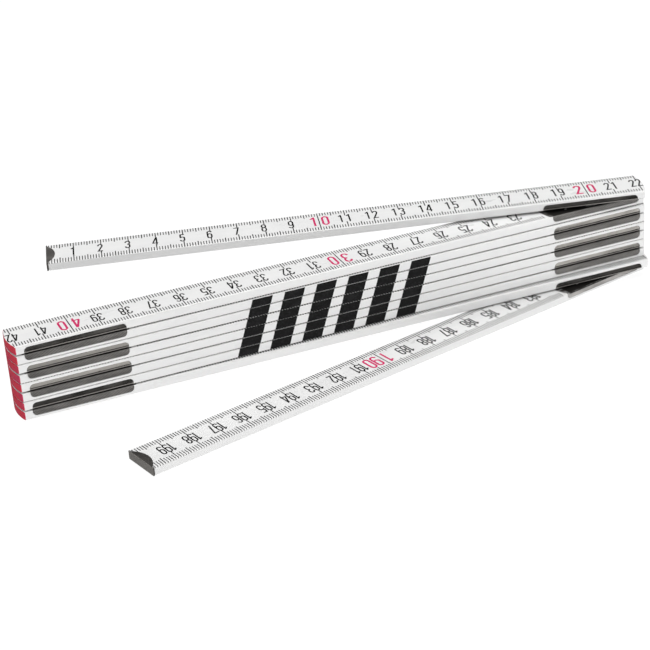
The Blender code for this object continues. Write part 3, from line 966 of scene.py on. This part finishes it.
def rib_shaded_plate(s, color):
    """The lower plates are painted darker between their ribs, as painted shade."""
    rise = s.math("MAXIMUM", s.math("SUBTRACT", s.z, FACE + BEND_RADIUS), 0.0)
    lean = s.math("POWER", s.math("DIVIDE", rise, WING_HEIGHT - BEND_RADIUS), WING_CURVE)
    lean = s.times(lean, sum(LOWER_CROWN) / 2)
    height = s.math("ADD", s.size(s.y), lean)
    # painted shade in the hollows between the ribs
    depth = s.band(height, HALF_WIDTH + 0.01 * MM, HALF_WIDTH + 0.05 * MM, 0.62, 0.0)
    return base_painted_shade(s, s.mix(depth, color, rgb(0.060, 0.057, 0.054)))


def end_plate_of(shade):
    """Mark for a cap whose end plate has another shade than its tongues."""
    def mark(s, color):
        plate = s.band(s.x, -0.50 * CAP_PLATE, -0.10 * CAP_PLATE)
        return s.mix(plate, color, rgb(*shade))
    return mark


def plate_edge_wear_and_highlight(s):
    """The top edge of the wings and the outline of the base plate, lighter as wear and partly as painted
    highlight.
    """
    top = s.band(s.z, FACE + WING_HEIGHT - 0.20 * MM, FACE + WING_HEIGHT - 0.06 * MM)
    # lighter towards the ends of the wings: painted highlight as well as wear
    ends = s.band(s.size(s.x), 17.0 * MM, 18.2 * MM, 0.0, 0.8)
    bend = s.times(s.band(s.z, FACE + 0.30 * MM, FACE + 0.12 * MM, 0.0, 0.3),
                   s.band(s.size(s.y), HALF_WIDTH - 0.5 * MM, HALF_WIDTH - 0.2 * MM))
    return s.math("MAXIMUM", s.math("MAXIMUM", top, ends), bend)


def cap_edges(s):
    """The four long edges of the end plate."""
    side = s.band(s.size(s.y), HALF_WIDTH - 0.20 * MM, HALF_WIDTH - 0.04 * MM)
    half = SLAT_THICKNESS / 2
    over = s.band(s.size(s.z), half - 0.16 * MM, half - 0.04 * MM)
    at_end = s.band(s.x, -CAP_PLATE, -CAP_PLATE + 0.1 * MM)
    return s.times(s.math("MAXIMUM", side, over), at_end)


def turned_steel(name, tone, rough):
    """Bright steel with rings about each hinge axis and a few darker smears."""
    s = Shader(name)
    rings = s.noise((900.0, 900.0, 3000.0), 3.0, 0.6)
    smears = s.noise((320.0, 320.0, 320.0), 3.0, 0.5, 3.0)
    color = s.mix(s.band(smears, 0.35, 0.70), rgb(*tone), rgb(*tone, 0.62))
    scratches = s.math("SUBTRACT", s.noise((2200.0, 2200.0, 400.0), 2.0, 0.5, 6.0), 0.5)
    scratches = s.band(s.size(scratches), 0.10, 0.18, 0.0, 0.35)
    color = s.mix(scratches, color, rgb(*tone, 1.3))
    roughness = s.band(smears, 0.3, 0.7, rough - 0.06, rough + 0.12)
    return s.finish(color, roughness, s.bump(rings, 0.008 * MM, 0.5), 1.0)


# Frames of the slats, from the hinges of the record

joints = {joint["name"]: joint for joint in frame["joints"]}


def joint_of(hinge):
    return joints[f"hinge_{hinge}_{hinge + 1}"]


def opening(hinge):
    """Turn of a hinge away from fully folded, in the frame's pose."""
    joint = joint_of(hinge)
    return -radians(joint["range_deg"][0]) * joint["axis"][2]


LAST_HINGE = SLAT_COUNT - 1
origins = {n: Vector(joint_of(n)["pos_m"]) for n in range(1, SLAT_COUNT)}
headings = {}
for n in range(2, SLAT_COUNT):
    along = origins[n - 1] - origins[n]
    headings[n] = atan2(along.y, along.x)
headings[1] = headings[2] + pi + opening(1)
headings[SLAT_COUNT] = headings[LAST_HINGE] - pi - opening(LAST_HINGE)
origins[SLAT_COUNT] = origins[LAST_HINGE] - Vector((HINGE_PITCH * cos(headings[SLAT_COUNT]),
                                                    HINGE_PITCH * sin(headings[SLAT_COUNT]), STACK_PITCH))
slat_frames = {n: moved(*origins[n]) @ Matrix.Rotation(headings[n], 4, "Z") for n in origins}

# Slat 1 is a little up and rolled about the near edge of its hinge
corner = Vector((HINGE_PITCH, HALF_WIDTH, FACE))
slack = Euler((-radians(FIRST_ROLL), FIRST_LIFT / HINGE_PITCH, 0.0)).to_matrix().to_4x4()
slat_frames[1] @= moved(*corner) @ slack @ moved(*-corner)


def show(name, mesh, slat, materials, replaced=None, place=Matrix.Identity(4)):
    """One piece of the rule, in place and riding on the body of its slat."""
    piece = add_object(name, mesh)
    piece.matrix_world = slat_frames[slat] @ place
    if not mesh.materials:
        for material in materials:
            mesh.materials.append(material)
    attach(piece, f"slat_{slat:02d}_body")
    if replaced:
        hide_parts(replaced)
    return piece


white = lacquer("white_lacquer", 1.0)
# the last slat gets the same lacquer 6% darker, as painted shade
painted_shade_white = lacquer("shaded_white_lacquer", 0.94)
red = red_dip()
black_ink = ink("black_ink", rgb(0.030, 0.030, 0.031), rgb(0.010, 0.010, 0.010), 0.80)
red_ink = ink("red_ink", rgb(0.62, 0.080, 0.190), rgb(0.50, 0.028, 0.115), 0.75)
gunmetal = dark_steel("gunmetal", (0.230, 0.220, 0.205), (0.42, 0.41, 0.39), 0.24, plate_edge_wear_and_highlight, creased_plate,
                      spread=0.22, metallic=1.0, gloss=0.5, dull=foot_of_wing)
hatched_steel = dark_steel("hatched_steel", (0.320, 0.308, 0.294), (0.38, 0.37, 0.35), 0.44, plate_edge_wear_and_highlight,
                           rib_shaded_plate, spread=0.10, metallic=0.6, gloss=0.25)
satin_steel = dark_steel("satin_steel", (0.480, 0.465, 0.450), (0.62, 0.61, 0.60), 0.46, plate_edge_wear_and_highlight,
                         shade_painted_to_edge, spread=0.10, metallic=0.5, gloss=0.10)
start_cap_metal = dark_steel("start_cap_steel", (0.120, 0.113, 0.107), (0.16, 0.15, 0.14), 0.42, cap_edges,
                             end_plate_of((0.016, 0.015, 0.014)), spread=0.0, metallic=0.6, gloss=0.5)
finish_cap_metal = dark_steel("finish_cap_steel", (0.042, 0.039, 0.036), (0.10, 0.09, 0.08), 0.46, cap_edges,
                              end_plate_of((0.330, 0.317, 0.300)), spread=0.0, metallic=0.6, gloss=0.25)
rivet_metal = turned_steel("rivet_steel", (0.55, 0.55, 0.54), 0.30)
spring_metal = turned_steel("spring_steel", (0.40, 0.40, 0.41), 0.26)

glyphs = {digit: make_glyph(digit) for digit in GLYPHS}
slat_meshes = {n: make_slat(n) for n in (1, 4, 5, 9, 10)}     # the others are like 4 or 5

for n in range(1, SLAT_COUNT + 1):
    mesh = slat_meshes.get(n, slat_meshes[5 if n % 2 else 4])
    # the last slat's darker lacquer is painted shade
    coat = painted_shade_white if n == SLAT_COUNT else white
    piece = show(f"lacquered_slat_{n:02d}", mesh, n, [coat, red], f"slat_{n:02d}")
    even = piece.modifiers.new("flat_faces", "WEIGHTED_NORMAL")
    even.keep_sharp = True
    sheet = Print(n)
    print_scale(sheet, True)
    print_scale(sheet, False)
    if 1 < n < SLAT_COUNT:
        print_bars(sheet)
    show(f"scale_print_{n:02d}", sheet.mesh(f"scale_print_{n:02d}"), n, [black_ink, red_ink])

for n in range(1, SLAT_COUNT):
    pair = f"{n}_{n + 1}"
    upper, lower = "winged_upper_plate_" + pair, "winged_lower_plate_" + pair
    crowns = [c * MM for c in UPPER_CROWNS[n - 1]]
    show(upper, make_hinge_plate(upper, False, n, crowns), n, [gunmetal],
         f"hinge_{pair}_upper_plate")
    metal = satin_steel if n == LAST_HINGE else hatched_steel
    show(lower, make_hinge_plate(lower, True, n, LOWER_CROWN), n + 1, [metal],
         f"hinge_{pair}_lower_plate", HINGE_ABOVE)
    for part, metal in (("rivet", rivet_metal), ("spring_washer", spring_metal)):
        node = frame["nodes"][f"hinge_{pair}_{part}"]
        node.data.materials.clear()
        node.data.materials.append(metal)

cap_height = FACE + SLAT_THICKNESS / 2
show("cap_of_the_start", make_end_cap(), 1, [start_cap_metal], "end_cap_start",
     moved(HINGE_PITCH, 0.0, cap_height))
show("cap_of_the_finish", make_end_cap(), SLAT_COUNT, [finish_cap_metal], "end_cap_finish",
     moved(0.0, 0.0, cap_height) @ Matrix.Rotation(pi, 4, "Z"))

for cutter in list(cutters.objects):
    bpy.data.objects.remove(cutter, do_unlink=True)
bpy.data.collections.remove(cutters)


# Studio

WHITE = (1.0, 1.0, 1.0, 1.0)
FLOOR_REACH = 12.0
FLOOR_DROP = 0.05 * MM
LENS = 107.94  # mm on a 36 mm sensor
CAMERA_PLACE = (-0.32859, -0.58318, 0.32419)
CAMERA_ANGLES = (63.0931, 3.9072, -22.6646)  # degrees


def glow(tree, kind, strength):
    """Even white light of a shader or a world."""
    node = tree.nodes.new(kind)
    node.inputs["Color"].default_value = WHITE
    node.inputs["Strength"].default_value = strength
    return node.outputs[0]


def by_ray(tree, ray, otherwise, then):
    """One shader for this kind of ray, another for all the rest."""
    kinds = tree.nodes.new("ShaderNodeLightPath")
    mix = tree.nodes.new("ShaderNodeMixShader")
    for source, target in zip((kinds.outputs[ray], otherwise, then), mix.inputs):
        tree.links.new(source, target)
    return mix.outputs[0]


def add_floor():
    """White paper sweep; in polished metal it shows as the darker table that it lies on."""
    mesh = bpy.data.meshes.new("studio_floor")
    corners = [(x * FLOOR_REACH, y * FLOOR_REACH, 0.0) for x, y in ((-1, -1), (1, -1), (1, 1), (-1, 1))]
    mesh.from_pydata(corners, [], [(0, 1, 2, 3)])
    floor = add_object("studio_floor", mesh)
    floor.location.z = -FLOOR_DROP
    material = bpy.data.materials.new("floor_white")
    material.use_nodes = True
    tree = material.node_tree
    paper = tree.nodes["Principled BSDF"]
    for key, value in {"Base Color": rgb(0.12, 0.12, 0.12), "Roughness": 0.9, "Specular IOR Level": 0.0,
                       "Emission Color": WHITE, "Emission Strength": 0.92}.items():
        paper.inputs[key].default_value = value
    bounce, table = (glow(tree, "ShaderNodeEmission", strength) for strength in (1.42, 0.10))
    mirrored = by_ray(tree, "Is Glossy Ray", bounce, table)
    seen = by_ray(tree, "Is Camera Ray", mirrored, paper.outputs[0])
    tree.links.new(seen, tree.nodes["Material Output"].inputs["Surface"])
    mesh.materials.append(material)


def add_light(name, position, target, width, depth, power):
    light = bpy.data.lights.new(name, "AREA")
    light.shape = "RECTANGLE"
    light.size = width
    light.size_y = depth
    light.energy = power
    lamp = add_object(name, light)
    lamp.location = position
    lamp.rotation_euler = (Vector(target) - Vector(position)).to_track_quat("-Z", "Y").to_euler()


def add_world():
    """Pale backdrop for the camera, dim surroundings for the metal to reflect."""
    world = bpy.data.worlds.new("studio")
    world.use_nodes = True
    tree = world.node_tree
    dim, pale = (glow(tree, "ShaderNodeBackground", strength) for strength in (0.18, 1.0))
    tree.links.new(by_ray(tree, "Is Camera Ray", dim, pale), tree.nodes["World Output"].inputs["Surface"])
    bpy.context.scene.world = world


def add_camera():
    data = bpy.data.cameras.new("camera")
    data.lens = LENS
    data.sensor_width = 36.0
    data.clip_start = 0.01
    camera = add_object("camera", data)
    camera.location = CAMERA_PLACE
    camera.rotation_euler = [radians(angle) for angle in CAMERA_ANGLES]
    bpy.context.scene.camera = camera


add_floor()
add_world()
add_light("overhead", (-0.10, 0.05, 1.20), (-0.10, -0.05, 0.0), 1.4, 1.2, 17.4)
add_light("key_right", (1.40, -0.52, 0.72), (-0.05, 0.0, 0.01), 1.0, 0.8, 7.5)
add_light("horizon_strip", (0.34, -1.05, 0.19), (0.0, 0.0, 0.02), 1.0, 0.40, 2.8)
add_light("front", (-0.30, -1.20, 0.90), (-0.05, 0.0, 0.01), 1.2, 0.6, 2.4)
add_camera()
bpy.context.scene.view_settings.view_transform = "Standard"
